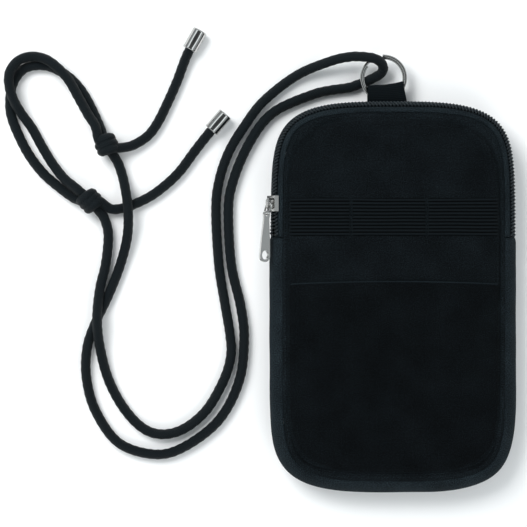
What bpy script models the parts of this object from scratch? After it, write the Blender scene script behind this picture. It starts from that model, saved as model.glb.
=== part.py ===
"""Neck pouch wallet: a flat zipped phone pouch lying on its back, with a round neck cord.

Frame: the origin is the centre of the back panel's underside. +X is the pouch's right as seen from
the front, +Y runs up its length to the ring, and +Z points out of the front panel. Metres.
The front wall is cut into a lower and an upper half on the line where it folds open.
"""

import math

import bmesh
import bpy
import numpy as np
from mathutils import Matrix, Vector

MM = 0.001

# Pouch outline: |x / HALF_WIDTH| ** SIDE_POWER + |y / HALF_LENGTH| ** END_POWER = 1
HALF_WIDTH = 60 * MM
HALF_LENGTH = 95.5 * MM
SIDE_POWER = 3.3
END_POWER = 8.0

# The side wall bulges as half an ellipse between the back seam and the front seam.
SEAM_INSET = 6.5 * MM
WALL_MIDDLE = 9.5 * MM
WALL_HALF_HEIGHT = 8.5 * MM
WALL_END_ANGLE = math.radians(8)
GUSSET_DEPTH = SEAM_INSET
ZIP_DEPTH = 5.1 * MM
GUSSET_THICKNESS = 1.0 * MM
TAPE_THICKNESS = 0.7 * MM

ZIP_END_Y = 28.7 * MM
FOLD_Y = 52 * MM
FOLD_Z = 18.2 * MM
GAP = 0.3 * MM

# Flat layers from the back to the front: (bottom, top, inset from the outline)
BACK_PANEL = (0.0, 1.0 * MM, 6.2 * MM)
BACK_FOAM = (1.3 * MM, 3.0 * MM, 7.6 * MM)
BACK_LINING = (3.3 * MM, 3.9 * MM, 7.0 * MM)
INNER_POCKET = (4.2 * MM, 4.8 * MM, 8.5 * MM)
FRONT_LINING = (13.9 * MM, 14.5 * MM, 7.0 * MM)
FRONT_FOAM = (14.8 * MM, 16.8 * MM, 7.6 * MM)
FRONT_PANEL = (17.1 * MM, 18.1 * MM, 6.2 * MM)
SLIP_POCKET = (18.4 * MM, 19.3 * MM, 7.0 * MM)
ELASTIC = (18.4 * MM, 19.5 * MM, 7.0 * MM)
INNER_POCKET_TOP = 12 * MM
SLIP_POCKET_TOP = 7 * MM
ELASTIC_BOTTOM = 29.4 * MM
ELASTIC_TOP = 47.5 * MM

# Zip chain: two coils side by side on the tapes' outer faces
CHAIN_ANGLE = math.radians(136)
COIL_RADIUS = 0.8 * MM
COIL_OFFSET = 1.3 * MM
COIL_HEIGHT = 1.1 * MM
TAPE_HALF_GAP = 0.6 * MM

SLIDER_Y = 45 * MM
SLIDER_LENGTH = 7.6 * MM
LINK_ANGLE = math.radians(18)
LINK_LENGTH = 5.6 * MM
LINK_WIDTH = 4.6 * MM
LINK_WIRE = 1.0 * MM
PIVOT_HEIGHT = 3.7 * MM
PULL_ANGLE = math.radians(3)
PULL_LENGTH = 23 * MM
PULL_THICKNESS = 1.2 * MM

RING_CENTRE = Vector((-4.2 * MM, 106.75 * MM, 6.5 * MM))
RING_RADIUS = 10.4 * MM
RING_WIRE_WIDTH = 1.8 * MM
RING_WIRE_HEIGHT = 1.15 * MM
RING_TURN_SPACING = 1.3 * MM
RING_JOG = math.radians(60)
RING_END_ANGLE = math.radians(35)
TAB_THICKNESS = 0.9 * MM
TAB_FOLD_RADIUS = 1.95 * MM
TAB_ROOT_Y = 94.65 * MM
TAB_ROOT_SIDES = (-12.1 * MM, 7.2 * MM)
TAB_FOLD_SIDES = (-12.1 * MM, 4.8 * MM)
TAB_FOLD_Y = (100.8 * MM, 102.9 * MM)

CORD_DIAMETER = 4.8 * MM
CORD_STEP = 15 * MM
CORD_FINE_STEP = 2.4 * MM
KNOT_RADIUS = 5.8 * MM
FERRULE_RADIUS = 3.7 * MM
FERRULE_BORE = 2.75 * MM
FERRULE_LENGTH = 11 * MM
FERRULE_END_WALL = 1.0 * MM

LEFT_KNOT = (-147.9, 46.7, 5.9)
RIGHT_KNOT = (-139.9, 74.1, 5.9)

# Where the cord runs, in millimetres. It lies on the table at half its diameter, and higher where
# it passes over itself or over the ring.
ROUTES = {
    "cord_at_ring": [
        (-16.6, 116.9, 10.3), (-12, 116.5, 10.7), (-7.9, 115.5, 10.6), (-5.3, 113.7, 9.1),
        (-4.3, 111.5, 6.9), (-5.3, 109.3, 4.8), (-7.9, 107.7, 3.3), (-11, 106.2, 2.6),
        (-14, 104.9, 2.5), (-16.6, 104, 2.5),
    ],
    "cord_inner_run": [
        (-17.3, 116.9, 10.2), (-21, 116.8, 9.6), (-30, 115, 7.4), (-46.5, 108.5, 3.4),
        (-63, 95.8, 2.5), (-72.7, 83.1, 2.5), (-80.1, 70.7, 2.5), (-84.8, 56.8, 2.5),
        (-86.4, 42.1, 2.5), (-85, 15.8, 2.5), (-82.3, -1.8, 2.5), (-79.4, -19.4, 2.5),
        (-79.1, -29.6, 2.5), (-82.3, -40.8, 2.5), (-90.6, -55.5, 2.5), (-101.3, -64.8, 2.5),
        (-112, -68, 2.5), (-121.8, -65.3, 2.5), (-131.1, -56, 2.5), (-139, -41.7, 2.6),
        (-143.3, -25.2, 5.2), (-144.4, -11, 9), (-143.3, 3.6, 5.2), (-140.6, 15.8, 2.6),
        (-139.3, 29.6, 2.5), (-141, 37.6, 2.7), (-143.4, 41.4, 3.2),
    ],
    "cord_outer_run": [
        (-17.3, 103.7, 2.5), (-21, 102.5, 2.5), (-30, 101.2, 2.5), (-38.5, 99.2, 2.5),
        (-54.5, 92.6, 2.5), (-63.6, 85, 2.5), (-72.4, 70.7, 2.5), (-78.3, 55.3, 2.5),
        (-80.3, 42.1, 2.5), (-78.9, 15.8, 2.5), (-74.3, -4.7, 2.5), (-72.5, -21.3, 2.5),
        (-75, -41.8, 2.5), (-84.8, -60.8, 2.5), (-101.3, -73.8, 2.5), (-116, -77.9, 2.5),
        (-134.1, -72.3, 2.5), (-145.6, -56.5, 2.5), (-150.1, -40.1, 2.5), (-149.7, -25.2, 2.5),
        (-145.6, -13, 2.5), (-139, 1.1, 2.5), (-133.3, 15.8, 2.7), (-129.8, 29.6, 5.8),
        (-129.3, 43, 9.5), (-131.5, 56, 6.2), (-134, 64.2, 2.8), (-136.1, 68.2, 3.2),
    ],
    "cord_upper_loop": [
        (-143.2, 79.7, 8.3), (-148.6, 88.5, 7.6), (-153.5, 97.3, 7), (-158.2, 105.6, 7.7),
        (-163.3, 111.4, 8), (-169.6, 116, 6.6), (-176.9, 117.5, 5.6), (-183, 115.4, 7),
        (-186.5, 111, 8), (-187.6, 106.5, 8), (-186.9, 100.7, 7.8), (-184.8, 94.8, 6.6),
        (-181.8, 89.5, 4.4), (-176.9, 82.6, 2.6), (-172.1, 73.8, 2.5), (-166.7, 65, 2.9),
        (-160.8, 57.7, 5), (-153.9, 51.9, 8),
    ],
    "cord_lower_loop": [
        (-141.8, 80.4, 2.9), (-144.9, 86.5, 2.5), (-148.6, 94.3, 2.5), (-152.8, 101.4, 2.5),
        (-157.9, 107, 2.5), (-163.3, 110.7, 2.5), (-169.1, 113.1, 2.5), (-175.5, 113.4, 2.5),
        (-180.9, 111.7, 2.5), (-184.8, 107.5, 2.5), (-187, 102.1, 2.5), (-187.7, 95.8, 2.5),
        (-187.2, 89.3, 2.5), (-184.5, 81.5, 2.5), (-178.9, 70.3, 2.5), (-171.6, 60.6, 2.5),
        (-163.8, 53.7, 2.5), (-154.6, 48.2, 2.9),
    ],
    "cord_right_tail": [
        (-133.4, 73.6, 7.9), (-126.8, 74.3, 4.2), (-120, 78.7, 2.6), (-115.1, 85.2, 2.5),
        (-110.2, 95, 2.5), (-105.4, 105.9, 2.6), (-100.5, 118.6, 3.6), (-94.6, 129.4, 3.9),
    ],
    "cord_left_tail": [
        (-141.6, 44.4, 8.3), (-138.4, 43, 3.4), (-133.4, 43, 2.4), (-127.5, 44.8, 2.5), (-118.4, 49.2, 2.5),
        (-110.2, 55.4, 2.5), (-103.8, 61.8, 2.5), (-97.3, 70.6, 2.6), (-90.5, 79.2, 3.6),
        (-82.4, 88.6, 3.9),
    ],
}
FINE_ROUTES = ("cord_at_ring",)
FERRULES = {"right_cord_end": "cord_right_tail", "left_cord_end": "cord_left_tail"}


# ---------------------------------------------------------------- materials


def material(name, colour, roughness, metallic=0.0):
    made = bpy.data.materials.new(name)
    made.use_nodes = True
    shader = made.node_tree.nodes["Principled BSDF"]
    shader.inputs["Base Color"].default_value = (*colour, 1)
    shader.inputs["Roughness"].default_value = roughness
    shader.inputs["Metallic"].default_value = metallic
    made.diffuse_color = (*colour, 1)
    return made


def make_materials():
    return {
        "shell": material("shell_fabric", (0.012, 0.013, 0.015), 0.85),
        "lining": material("lining_fabric", (0.02, 0.02, 0.022), 0.8),
        "foam": material("foam", (0.12, 0.12, 0.12), 0.95),
        "tape": material("zip_tape", (0.012, 0.013, 0.015), 0.8),
        "coil": material("zip_coil", (0.015, 0.016, 0.018), 0.4),
        "elastic": material("elastic", (0.01, 0.01, 0.012), 0.75),
        "webbing": material("webbing", (0.012, 0.013, 0.014), 0.75),
        "binding": material("binding", (0.015, 0.015, 0.017), 0.8),
        "nickel": material("nickel", (0.62, 0.63, 0.64), 0.18, 1.0),
        "cord": material("cord", (0.012, 0.014, 0.015), 0.7),
    }


# ---------------------------------------------------------------- the pouch's outline


def outline_point(angle):
    """The point of the outline in that direction from the centre, found by bisection."""
    across, along = abs(math.cos(angle)) / HALF_WIDTH, abs(math.sin(angle)) / HALF_LENGTH
    low, high = 0.0, HALF_WIDTH + HALF_LENGTH
    for _ in range(50):
        middle = (low + high) / 2
        if (middle * across) ** SIDE_POWER + (middle * along) ** END_POWER < 1:
            low = middle
        else:
            high = middle
    return np.array([low * math.cos(angle), low * math.sin(angle)])


def outline_normal(point):
    """The outward direction of the outline at a point on it."""
    x, y = point
    slope = np.array([
        SIDE_POWER * abs(x / HALF_WIDTH) ** (SIDE_POWER - 1) * math.copysign(1 / HALF_WIDTH, x),
        END_POWER * abs(y / HALF_LENGTH) ** (END_POWER - 1) * math.copysign(1 / HALF_LENGTH, y),
    ])
    return slope / np.linalg.norm(slope)


def angle_at(y):
    """The direction from the centre to the outline's right side at that height."""
    half_width = HALF_WIDTH * (1 - abs(y / HALF_LENGTH) ** END_POWER) ** (1 / SIDE_POWER)
    return math.atan2(y, half_width)


def outline_run(start, end, steps):
    """(points, outward normals) evenly spaced along the outline, anticlockwise between two angles."""
    dense = np.array([outline_point(a) for a in np.linspace(start, end, 400)])
    along = np.concatenate([[0], np.cumsum(np.linalg.norm(np.diff(dense, axis=0), axis=1))])
    at = np.linspace(0, along[-1], steps + 1)
    points = np.stack([np.interp(at, along, dense[:, k]) for k in (0, 1)], axis=1)
    return points, np.array([outline_normal(p) for p in points])


def over_the_top(y, steps):
    """The outline above a height, from its right side to its left."""
    return outline_run(angle_at(y), math.pi - angle_at(y), steps)


def under_the_bottom(y, steps):
    """The outline below a height, from its left side to its right."""
    return outline_run(math.pi - angle_at(y), 2 * math.pi + angle_at(y), steps)


def right_side(low, high, steps):
    return outline_run(angle_at(low), angle_at(high), steps)


def left_side(low, high, steps):
    return outline_run(math.pi - angle_at(high), math.pi - angle_at(low), steps)


def inset(run, distance):
    points, normals = run
    return points - distance * normals


# ---------------------------------------------------------------- shapes


def add_object(name, data, finish):
    data.materials.append(finish)
    made = bpy.data.objects.new(name, data)
    bpy.context.scene.collection.objects.link(made)
    return made


def mesh_object(name, bm, finish):
    bmesh.ops.recalc_face_normals(bm, faces=bm.faces)
    mesh = bpy.data.meshes.new(name)
    bm.to_mesh(mesh)
    bm.free()
    return add_object(name, mesh, finish)


def extrude_rim(name, corners, direction, finish):
    """A flat face through the corners, extruded into a solid."""
    bm = bmesh.new()
    face = bm.faces.new([bm.verts.new(c) for c in corners])
    moved = bmesh.ops.extrude_face_region(bm, geom=[face])["geom"]
    verts = [v for v in moved if isinstance(v, bmesh.types.BMVert)]
    bmesh.ops.translate(bm, verts=verts, vec=direction)
    return mesh_object(name, bm, finish)


def layer(name, run, levels, finish):
    """A flat layer inside the outline, closed by a straight edge where the run is open."""
    bottom, top, distance = levels
    rim = inset(run, distance)
    corners = [(x, y, bottom) for x, y in rim]
    return extrude_rim(name, corners, (0, 0, top - bottom), finish)


def wall(name, run, section, thickness, finish):
    """A curved strip: a section of (inset, height) points swept along the outline, made thick inwards."""
    points, normals = run
    bm = bmesh.new()
    rows = []
    for point, normal in zip(points, normals):
        places = [(*(point - distance * normal), height) for distance, height in section]
        rows.append([bm.verts.new(p) for p in places])
    for row, after in zip(rows, rows[1:]):
        for j in range(len(section) - 1):
            bm.faces.new((row[j], after[j], after[j + 1], row[j + 1]))
    mesh = bpy.data.meshes.new(name)
    bm.to_mesh(mesh)
    bm.free()
    made = add_object(name, mesh, finish)
    thick = made.modifiers.new("thickness", "SOLIDIFY")
    thick.thickness = thickness
    thick.offset = -1
    thick.use_even_offset = True
    return made


def wall_section(depth, start, end, steps):
    """(inset, height) points of the side wall's outer face between two angles, back seam to front."""
    return [
        (SEAM_INSET - depth * math.sin(a), WALL_MIDDLE - WALL_HALF_HEIGHT * math.cos(a))
        for a in np.linspace(start, end, steps + 1)
    ]


def chain_axes():
    """The zip chain's cross-section: (inset, height) of its middle, then its outward and its
    frontward direction, each as (outward, up)."""
    sine, cosine = math.sin(CHAIN_ANGLE), math.cos(CHAIN_ANGLE)
    outward = Vector((WALL_HALF_HEIGHT * sine, -ZIP_DEPTH * cosine)).normalized()
    middle = (SEAM_INSET - ZIP_DEPTH * sine, WALL_MIDDLE - WALL_HALF_HEIGHT * cosine)
    return middle, outward, Vector((-outward.y, outward.x))


def beside_chain(frontward, outward):
    """(inset, height) of a point given by its distances from the chain's middle on the tape."""
    (distance, height), out, front = chain_axes()
    return (
        distance - out.x * outward - front.x * frontward,
        height + out.y * outward + front.y * frontward,
    )


def tape_angle(frontward):
    """The side wall's angle at that distance from the chain's middle, along the tape."""
    arc = math.hypot(ZIP_DEPTH * math.cos(CHAIN_ANGLE), WALL_HALF_HEIGHT * math.sin(CHAIN_ANGLE))
    return CHAIN_ANGLE + frontward / arc


def tube(name, points, diameter, finish, sides=2, cyclic=False):
    curve = bpy.data.curves.new(name, "CURVE")
    curve.dimensions = "3D"
    curve.bevel_depth = diameter / 2
    curve.bevel_resolution = sides
    curve.use_fill_caps = not cyclic
    spline = curve.splines.new("POLY")
    spline.points.add(len(points) - 1)
    for made, place in zip(spline.points, points):
        made.co = (*place, 1)
    spline.use_cyclic_u = cyclic
    return add_object(name, curve, finish)


def smooth_route(points, step):
    """Points about a step apart on the smooth curve through a route's own points."""
    knots = np.array(points, float)
    ends = [2 * knots[0] - knots[1], 2 * knots[-1] - knots[-2]]
    padded = np.vstack([ends[0], knots, ends[1]])
    dense = []
    for a, b, c, d in zip(padded, padded[1:], padded[2:], padded[3:]):
        for t in np.linspace(0, 1, 24, endpoint=False):
            dense.append(0.5 * (2 * b + (c - a) * t + (2 * a - 5 * b + 4 * c - d) * t**2
                                + (3 * b - a - 3 * c + d) * t**3))
    dense = np.array([*dense, knots[-1]])
    along = np.concatenate([[0], np.cumsum(np.linalg.norm(np.diff(dense, axis=0), axis=1))])
    at = np.linspace(0, along[-1], max(2, round(along[-1] / step)) + 1)
    return np.stack([np.interp(at, along, dense[:, k]) for k in range(3)], axis=1)


def helper(made):
    """Marks an object that only shapes another one."""
    made.hide_render = True
    made.display_type = "WIRE"
    return made


def join(target, tool):
    union = target.modifiers.new("join_" + tool.name, "BOOLEAN")
    union.operation = "UNION"
    union.solver = "EXACT"
    union.object = helper(tool)


# ---------------------------------------------------------------- the pouch


def make_back(finishes):
    whole = outline_run(0, 2 * math.pi, 64)
    whole = (whole[0][:-1], whole[1][:-1])
    layer("back_panel", whole, BACK_PANEL, finishes["shell"])
    layer("back_foam", whole, BACK_FOAM, finishes["foam"])
    layer("back_lining", whole, BACK_LINING, finishes["lining"])
    layer("inner_pocket", under_the_bottom(INNER_POCKET_TOP, 34), INNER_POCKET, finishes["lining"])


def make_front(finishes):
    lower = under_the_bottom(FOLD_Y - GAP / 2, 44)
    upper = over_the_top(FOLD_Y + GAP / 2, 24)
    for part, run in (("lower", lower), ("upper", upper)):
        layer("front_panel_" + part, run, FRONT_PANEL, finishes["shell"])
        layer("front_foam_" + part, run, FRONT_FOAM, finishes["foam"])
        layer("front_lining_" + part, run, FRONT_LINING, finishes["lining"])
    layer("slip_pocket", under_the_bottom(SLIP_POCKET_TOP, 34), SLIP_POCKET, finishes["shell"])


def make_elastic(finishes):
    sides = [right_side(ELASTIC_BOTTOM, ELASTIC_TOP, 4), left_side(ELASTIC_BOTTOM, ELASTIC_TOP, 4)]
    bottom, top, distance = ELASTIC
    corners = [(x, y, bottom) for side in sides for x, y in inset(side, distance)]
    extrude_rim("elastic_band", corners, (0, 0, top - bottom), finishes["elastic"])


def make_side_wall(finishes):
    whole_wall = wall_section(GUSSET_DEPTH, WALL_END_ANGLE, math.pi - WALL_END_ANGLE, 8)
    below = under_the_bottom(ZIP_END_Y - GAP / 2, 38)
    wall("gusset", below, whole_wall, GUSSET_THICKNESS, finishes["shell"])
    behind = wall_section(ZIP_DEPTH, WALL_END_ANGLE, tape_angle(-TAPE_HALF_GAP), 6)
    before = wall_section(ZIP_DEPTH, tape_angle(TAPE_HALF_GAP), math.pi - WALL_END_ANGLE, 4)
    zipped = over_the_top(ZIP_END_Y + GAP / 2, 32)
    wall("zip_tape_back", zipped, behind, TAPE_THICKNESS, finishes["tape"])
    for name, run in front_zip_runs().items():
        wall("zip_tape_front_" + name, run, before, TAPE_THICKNESS, finishes["tape"])


def front_zip_runs():
    """The front half of the zip is in three stretches: two below the fold and the one that opens."""
    low, high = ZIP_END_Y + GAP / 2, FOLD_Y - GAP / 2
    return {
        "right": right_side(low, high, 4),
        "left": left_side(low, high, 4),
        "top": over_the_top(FOLD_Y + GAP / 2, 24),
    }


def make_coils(finishes):
    def coil(name, run, frontward):
        distance, height = beside_chain(frontward, COIL_HEIGHT)
        places = [(x, y, height) for x, y in inset(run, distance)]
        tube(name, places, 2 * COIL_RADIUS, finishes["coil"], sides=1)

    coil("zip_coil_back", over_the_top(ZIP_END_Y + GAP / 2, 32), -COIL_OFFSET)
    for name, run in front_zip_runs().items():
        coil("zip_coil_front_" + name, run, COIL_OFFSET)


def make_bindings(finishes):
    """Tape bound over the raw seam edges inside: a square ring in each corner of the pouch."""
    square = {"back": (2.6 * MM, 3.6 * MM), "front": (15.4 * MM, 16.4 * MM)}

    def binding(name, run, side):
        low, high = square[side]
        outer, inner = 5.6 * MM, 6.6 * MM
        wall(name, run, [(outer, low), (outer, high)], inner - outer, finishes["binding"])

    binding("back_seam_binding_lower", under_the_bottom(FOLD_Y - GAP / 2, 40), "back")
    binding("back_seam_binding_upper", over_the_top(FOLD_Y + GAP / 2, 24), "back")
    binding("front_seam_binding_lower", under_the_bottom(FOLD_Y - GAP / 2, 40), "front")
    binding("front_seam_binding_upper", over_the_top(FOLD_Y + GAP / 2, 24), "front")


# ---------------------------------------------------------------- slider and pull


def slider_matrix():
    """The slider's frame on the left side: x frontward across the chain, y up the pouch, z outward."""
    (distance, height), out, front = chain_axes()
    side = -outline_point(angle_at(SLIDER_Y))[0]
    outward, frontward = Vector((-out.x, 0, out.y)), Vector((-front.x, 0, front.y))
    place = Vector((side + distance, SLIDER_Y, height))
    turn = Matrix((frontward, Vector((0, 1, 0)), outward)).transposed()
    return Matrix.Translation(place) @ turn.to_4x4()


def block(name, low, high, finish):
    corners = [(low[0], low[1], low[2]), (high[0], low[1], low[2]),
               (high[0], high[1], low[2]), (low[0], high[1], low[2])]
    return extrude_rim(name, corners, (0, 0, high[2] - low[2]), finish)


def make_slider(finishes):
    nickel, half = finishes["nickel"], SLIDER_LENGTH / 2
    edge, inner, lip, under, top = 3.4 * MM, 2.7 * MM, 0.6 * MM, 2.2 * MM, 2.9 * MM
    profile = [(-edge, lip), (-inner, lip), (-inner, under), (inner, under),
               (inner, lip), (edge, lip), (edge, top), (-edge, top)]
    body = extrude_rim("slider_body", [(x, -half, z) for x, z in profile],
                       (0, SLIDER_LENGTH, 0), nickel)
    base = block("slider_base", (-2.4 * MM, -3.4 * MM, -2.2 * MM), (1.2 * MM, 3.4 * MM, -1.5 * MM),
                 nickel)
    post = block("slider_post", (-0.25 * MM, -3.2 * MM, -2.0 * MM), (0.25 * MM, -1.4 * MM, 2.6 * MM),
                 nickel)
    foot, arch = 2.6 * MM, 5.3 * MM
    bridge_side = [(-foot, 2.8 * MM), (-1.7 * MM, 2.8 * MM), (-1.7 * MM, 4.1 * MM),
                   (-1.2 * MM, 4.5 * MM), (1.2 * MM, 4.5 * MM), (1.7 * MM, 4.1 * MM),
                   (1.7 * MM, 2.8 * MM), (foot, 2.8 * MM), (foot, 4.4 * MM), (1.6 * MM, arch),
                   (-1.6 * MM, arch), (-foot, 4.4 * MM)]
    bridge = extrude_rim("slider_bridge", [(-0.8 * MM, y, z) for y, z in bridge_side],
                         (1.6 * MM, 0, 0), nickel)
    place = slider_matrix()
    for tool in (base, post, bridge):
        tool.matrix_world = place
        join(body, tool)
    body.matrix_world = place


def pull_frames():
    """(link's frame, pull tab's frame): each at its own pivot, its y axis back up to the pivot."""
    slider = slider_matrix()
    link = slider @ Matrix.Translation((0, 0, PIVOT_HEIGHT)) @ Matrix.Rotation(-LINK_ANGLE, 4, "X")
    tab = link @ Matrix.Translation((0, -LINK_LENGTH, 0))
    tab = tab @ Matrix.Rotation(LINK_ANGLE - PULL_ANGLE, 4, "X") @ Matrix.Rotation(math.pi / 2, 4, "Y")
    return link, tab


def make_pull(finishes):
    link_frame, tab_frame = pull_frames()
    corner, half = 1.6 * MM, LINK_WIDTH / 2
    places = []
    for centre_x, centre_y, start in ((half - corner, -corner, 0), (corner - half, -corner, 90),
                                      (corner - half, corner - LINK_LENGTH, 180),
                                      (half - corner, corner - LINK_LENGTH, 270)):
        for a in np.radians(np.linspace(start, start + 90, 5)):
            places.append((centre_x + corner * math.cos(a), centre_y + corner * math.sin(a), 0))
    link = tube("pull_link", places, LINK_WIRE, finishes["nickel"], cyclic=True)
    link.matrix_world = link_frame
    make_pull_tab(finishes).matrix_world = tab_frame


def arc(centre, radius_x, radius_y, start, end, steps):
    return [(centre[0] + radius_x * math.cos(a), centre[1] + radius_y * math.sin(a))
            for a in np.radians(np.linspace(start, end, steps + 1))]


def make_pull_tab(finishes):
    """A flat tab with an eye round the link's far bar and an oval hole near its free end."""
    eye, tail = 1.7 * MM, 2.8 * MM
    outline = arc((0, 0), eye, eye, -20, 200, 8)
    outline += [(-1.45 * MM, -2.4 * MM), (-1.6 * MM, -4 * MM), (-2.25 * MM, -11 * MM)]
    outline += arc((0, tail - PULL_LENGTH), tail, tail, 180, 360, 12)
    outline += [(2.25 * MM, -11 * MM), (1.6 * MM, -4 * MM), (1.45 * MM, -2.4 * MM)]
    hole = arc((0, 3.4 * MM - PULL_LENGTH), 1.75 * MM, 2.2 * MM, 0, 342, 19)
    pivot_hole = arc((0, 0), 0.9 * MM, 0.9 * MM, 0, 330, 11)
    curve = bpy.data.curves.new("pull_tab", "CURVE")
    curve.dimensions = "2D"
    curve.fill_mode = "BOTH"
    curve.extrude = PULL_THICKNESS / 2
    for loop in (outline, hole, pivot_hole):
        spline = curve.splines.new("POLY")
        spline.points.add(len(loop) - 1)
        for made, (x, y) in zip(spline.points, loop):
            made.co = (x, y, 0, 1)
        spline.use_cyclic_u = True
    return add_object("pull_tab", curve, finishes["nickel"])


# ---------------------------------------------------------------- ring tab and split ring


def make_ring_tab(finishes):
    """Webbing folded round the ring: a closed band, its fold farther up the pouch on the right."""
    rows = []
    bm = bmesh.new()

    def add_row(sides, ys, z):
        rows.append([bm.verts.new((x, y, RING_CENTRE.z + z)) for x, y in zip(sides, ys)])

    for a in np.radians(np.linspace(-90, 90, 9)):
        ys = [y + TAB_FOLD_RADIUS * math.cos(a) for y in TAB_FOLD_Y]
        add_row(TAB_FOLD_SIDES, ys, TAB_FOLD_RADIUS * math.sin(a))
    near, root = TAB_ROOT_Y + 1.2 * MM, TAB_ROOT_Y
    for y, z in ((near, 1.9), (root, 1.0), (root, -1.0), (near, -1.9)):
        add_row(TAB_ROOT_SIDES, (y, y), z * MM)
    for row, after in zip(rows, rows[1:] + rows[:1]):
        bm.faces.new((row[0], row[1], after[1], after[0]))
    tab = mesh_object("ring_tab", bm, finishes["webbing"])
    thick = tab.modifiers.new("thickness", "SOLIDIFY")
    thick.thickness = TAB_THICKNESS
    thick.offset = 0
    thick.use_even_offset = True


def make_split_ring(finishes):
    """Two flat turns one above the other, joined where the wire steps from one to the other."""
    section = arc((0, 0), RING_WIRE_WIDTH / 2, RING_WIRE_HEIGHT / 2, 22.5, 337.5, 7)
    bm = bmesh.new()
    rows = []
    for a in np.linspace(RING_JOG / 2, 4 * math.pi - RING_JOG / 2, 67):
        step = np.clip((a - 2 * math.pi) / RING_JOG + 0.5, 0, 1)
        level = (step * step * (3 - 2 * step) - 0.5) * RING_TURN_SPACING
        turn = a + RING_END_ANGLE
        along = Vector((math.cos(turn), math.sin(turn), 0))
        places = [RING_CENTRE + along * (RING_RADIUS + x) + Vector((0, 0, level + z))
                  for x, z in section]
        rows.append([bm.verts.new(p) for p in places])
    for row, after in zip(rows, rows[1:]):
        for j in range(len(section)):
            k = (j + 1) % len(section)
            bm.faces.new((row[j], after[j], after[k], row[k]))
    bm.faces.new(rows[0])
    bm.faces.new(rows[-1][::-1])
    mesh_object("split_ring", bm, finishes["nickel"])


# ---------------------------------------------------------------- the neck cord


def route(name):
    step = CORD_FINE_STEP if name in FINE_ROUTES else CORD_STEP
    return smooth_route(np.array(ROUTES[name]) * MM, step)


def make_cord(finishes):
    for name in ROUTES:
        tube(name, route(name), CORD_DIAMETER, finishes["cord"])
    for name, centre in (("left_knot", LEFT_KNOT), ("right_knot", RIGHT_KNOT)):
        bm = bmesh.new()
        bmesh.ops.create_icosphere(bm, subdivisions=2, radius=KNOT_RADIUS)
        knot = mesh_object(name, bm, finishes["cord"])
        knot.location = Vector(centre) * MM


def make_ferrule(name, along, finishes):
    """A metal cup turned about z, its mouth towards the cord and its last millimetre closed."""
    bm = bmesh.new()
    profile = [(0, FERRULE_LENGTH), (FERRULE_RADIUS, FERRULE_LENGTH), (FERRULE_RADIUS, 0),
               (FERRULE_BORE, 0), (FERRULE_BORE, FERRULE_LENGTH - FERRULE_END_WALL),
               (0, FERRULE_LENGTH - FERRULE_END_WALL)]
    verts = [bm.verts.new((x, 0, z)) for x, z in profile]
    edges = [bm.edges.new(pair) for pair in zip(verts, verts[1:])]
    bmesh.ops.spin(bm, geom=verts + edges, cent=(0, 0, 0), axis=(0, 0, 1),
                   angle=2 * math.pi, steps=16)
    bmesh.ops.remove_doubles(bm, verts=bm.verts, dist=0.01 * MM)
    made = mesh_object(name, bm, finishes["nickel"])
    line = route(along)
    towards = Vector(line[-1] - line[-2]).normalized()
    mouth = Vector(line[-1]) - towards * (FERRULE_LENGTH - FERRULE_END_WALL - GAP)
    made.matrix_world = Matrix.Translation(mouth) @ towards.to_track_quat("Z", "Y").to_matrix().to_4x4()


def main():
    for old in list(bpy.data.objects):
        bpy.data.objects.remove(old)
    finishes = make_materials()
    make_back(finishes)
    make_front(finishes)
    make_elastic(finishes)
    make_side_wall(finishes)
    make_coils(finishes)
    make_bindings(finishes)
    make_slider(finishes)
    make_pull(finishes)
    make_ring_tab(finishes)
    make_split_ring(finishes)
    make_cord(finishes)
    for name, along in FERRULES.items():
        make_ferrule(name, along, finishes)


main()
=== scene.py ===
"""Neck pouch wallet: the looks of the pouch, its zip, key ring and knotted neck cord."""

import math

import bmesh
import bpy
import numpy as np
from mathutils import Matrix, Vector, noise


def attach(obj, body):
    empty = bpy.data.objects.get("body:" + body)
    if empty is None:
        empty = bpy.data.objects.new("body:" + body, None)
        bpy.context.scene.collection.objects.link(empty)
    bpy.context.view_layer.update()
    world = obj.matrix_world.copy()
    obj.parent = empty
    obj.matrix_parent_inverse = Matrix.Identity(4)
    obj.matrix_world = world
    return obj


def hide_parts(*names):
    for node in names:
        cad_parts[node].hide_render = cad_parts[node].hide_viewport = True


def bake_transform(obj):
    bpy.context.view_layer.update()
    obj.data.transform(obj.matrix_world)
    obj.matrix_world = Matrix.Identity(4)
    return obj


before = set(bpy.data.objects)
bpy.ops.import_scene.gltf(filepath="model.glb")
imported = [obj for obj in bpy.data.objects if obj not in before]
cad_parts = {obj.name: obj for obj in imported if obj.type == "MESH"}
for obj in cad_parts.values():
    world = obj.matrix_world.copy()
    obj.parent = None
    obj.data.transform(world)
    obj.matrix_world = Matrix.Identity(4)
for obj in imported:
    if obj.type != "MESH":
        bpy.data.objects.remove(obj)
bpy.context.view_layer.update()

MM = 0.001

# ---------------------------------------------------------------- sizes shared with the CAD

HALF_WIDTH = 60 * MM
HALF_LENGTH = 95.5 * MM
SIDE_POWER = 3.3
END_POWER = 8.0
SEAM_INSET = 6.5 * MM
WALL_MIDDLE = 9.5 * MM
WALL_HALF_HEIGHT = 8.5 * MM
ZIP_DEPTH = 5.1 * MM
ZIP_END_Y = 28.7 * MM
SLIP_POCKET_TOP = 7 * MM
ELASTIC_BOTTOM = 29.4 * MM
ELASTIC_TOP = 47.5 * MM
ELASTIC_RIB_PITCH = (ELASTIC_TOP - ELASTIC_BOTTOM) / 11
CHAIN_ANGLE = math.radians(136)
RING_CENTRE = Vector((-4.2 * MM, 106.75 * MM, 6.5 * MM))
RING_RADIUS = 10.4 * MM
CORD_DIAMETER = 4.8 * MM

# ---------------------------------------------------------------- sizes only the looks use

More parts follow.
